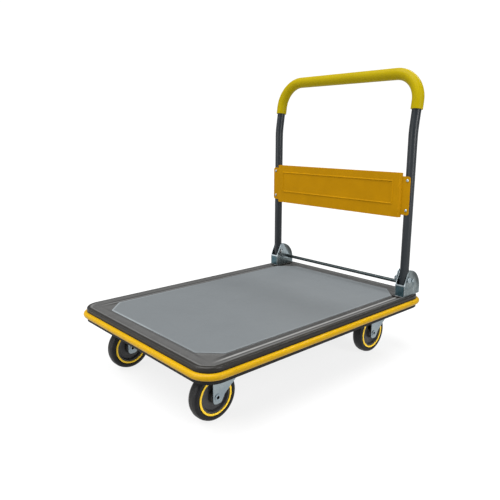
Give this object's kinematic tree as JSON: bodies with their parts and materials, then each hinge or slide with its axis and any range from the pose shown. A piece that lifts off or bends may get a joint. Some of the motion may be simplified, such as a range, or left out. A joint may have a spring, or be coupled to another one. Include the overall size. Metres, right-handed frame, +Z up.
{
  "type": "folding platform cart",
  "caption": "Flat-deck trolley with a bumper strip, swivel casters and a tubular push handle that folds down flat over the deck.",
  "frame": {"origin": "on the floor, below the middle of the deck's outline", "axes": "+X to the right, +Y towards the handle end, +Z up; the upright handle stands at +Y and folds towards -Y"},
  "size_m": [0.62, 0.876, 0.866],
  "materials": {
    "painted_grey": "semi-gloss dark grey powder coat",
    "charcoal": "satin charcoal powder coat",
    "amber": "gloss amber paint",
    "mat_vinyl": "matt light grey vinyl",
    "bumper_vinyl": "glossy golden yellow vinyl",
    "grip_vinyl": "glossy lemon yellow sleeve",
    "zinc": "bright zinc plate",
    "steel": "plain steel",
    "tyre_rubber": "black solid rubber",
    "black_plastic": "black moulded nylon",
    "ring_yellow": "yellow band"
  },
  "bodies": {
    "deck": {"deck_pan": "painted_grey", "deck_mat": "mat_vinyl", "bumper_strip": "bumper_vinyl", "cross_member_front": "charcoal", "cross_member_rear": "charcoal", "stringer_left": "charcoal", "stringer_right": "charcoal", "hinge_bracket_left": "zinc", "hinge_bracket_right": "zinc", "bracket_bolts": "zinc", "pivot_bolts": "zinc", "anchor_rivets": "zinc", "latch_springs": "steel", "caster_bolts": "zinc", "kingpins": "zinc", "race_balls": "steel", "caster_plate_front_right": "zinc", "caster_plate_front_left": "zinc", "caster_plate_rear_right": "zinc", "caster_plate_rear_left": "zinc"},
    "handle": {"handle_tube": "charcoal", "handle_grip": "grip_vinyl", "handle_end_plugs": "black_plastic", "back_panel": "amber", "panel_screws": "zinc"},
    "latch": {"latch_rod": "zinc", "latch_arm_left": "zinc", "latch_arm_right": "zinc"},
    "swivel_front_right": {"caster_fork_front_right": "zinc", "caster_race_front_right": "zinc", "caster_axle_front_right": "zinc"},
    "wheel_front_right": {"tyre_front_right": "tyre_rubber", "wheel_front_right_core": "black_plastic", "wheel_front_right_rings": "ring_yellow", "wheel_front_right_bush": "steel"},
    "swivel_front_left": {"caster_fork_front_left": "zinc", "caster_race_front_left": "zinc", "caster_axle_front_left": "zinc"},
    "wheel_front_left": {"tyre_front_left": "tyre_rubber", "wheel_front_left_core": "black_plastic", "wheel_front_left_rings": "ring_yellow", "wheel_front_left_bush": "steel"},
    "swivel_rear_right": {"caster_fork_rear_right": "zinc", "caster_race_rear_right": "zinc", "caster_axle_rear_right": "zinc"},
    "wheel_rear_right": {"tyre_rear_right": "tyre_rubber", "wheel_rear_right_core": "black_plastic", "wheel_rear_right_rings": "ring_yellow", "wheel_rear_right_bush": "steel"},
    "swivel_rear_left": {"caster_fork_rear_left": "zinc", "caster_race_rear_left": "zinc", "caster_axle_rear_left": "zinc"},
    "wheel_rear_left": {"tyre_rear_left": "tyre_rubber", "wheel_rear_left_core": "black_plastic", "wheel_rear_left_rings": "ring_yellow", "wheel_rear_left_bush": "steel"}
  },
  "joints": [
    {"name": "handle_fold", "type": "hinge", "parent": "deck", "child": "handle", "pos_m": [0, 0.357, 0.2375], "axis": [1, 0, 0], "range_deg": [0, 90]},
    {"name": "latch_release", "type": "hinge", "parent": "deck", "child": "latch", "pos_m": [0, 0.357, 0.2375], "axis": [-1, 0, 0], "range_deg": [0, 18], "stiffness_Nm_per_rad": 1.5, "springref_deg": -22.92},
    {"name": "swivel_front_right_turn", "type": "hinge", "parent": "deck", "child": "swivel_front_right", "pos_m": [0.2, -0.306, 0.1375], "axis": [0, 0, 1], "continuous": true},
    {"name": "wheel_front_right_spin", "type": "hinge", "parent": "swivel_front_right", "child": "wheel_front_right", "pos_m": [0.2, -0.334, 0.0635], "axis": [1, 0, 0], "continuous": true},
    {"name": "swivel_front_left_turn", "type": "hinge", "parent": "deck", "child": "swivel_front_left", "pos_m": [-0.2, -0.306, 0.1375], "axis": [0, 0, 1], "continuous": true},
    {"name": "wheel_front_left_spin", "type": "hinge", "parent": "swivel_front_left", "child": "wheel_front_left", "pos_m": [-0.2, -0.334, 0.0635], "axis": [1, 0, 0], "continuous": true},
    {"name": "swivel_rear_right_turn", "type": "hinge", "parent": "deck", "child": "swivel_rear_right", "pos_m": [0.2, 0.319, 0.1375], "axis": [0, 0, 1], "continuous": true},
    {"name": "wheel_rear_right_spin", "type": "hinge", "parent": "swivel_rear_right", "child": "wheel_rear_right", "pos_m": [0.2, 0.291, 0.0635], "axis": [1, 0, 0], "continuous": true},
    {"name": "swivel_rear_left_turn", "type": "hinge", "parent": "deck", "child": "swivel_rear_left", "pos_m": [-0.2, 0.319, 0.1375], "axis": [0, 0, 1], "continuous": true},
    {"name": "wheel_rear_left_spin", "type": "hinge", "parent": "swivel_rear_left", "child": "wheel_rear_left", "pos_m": [-0.2, 0.291, 0.0635], "axis": [1, 0, 0], "continuous": true}
  ]
}
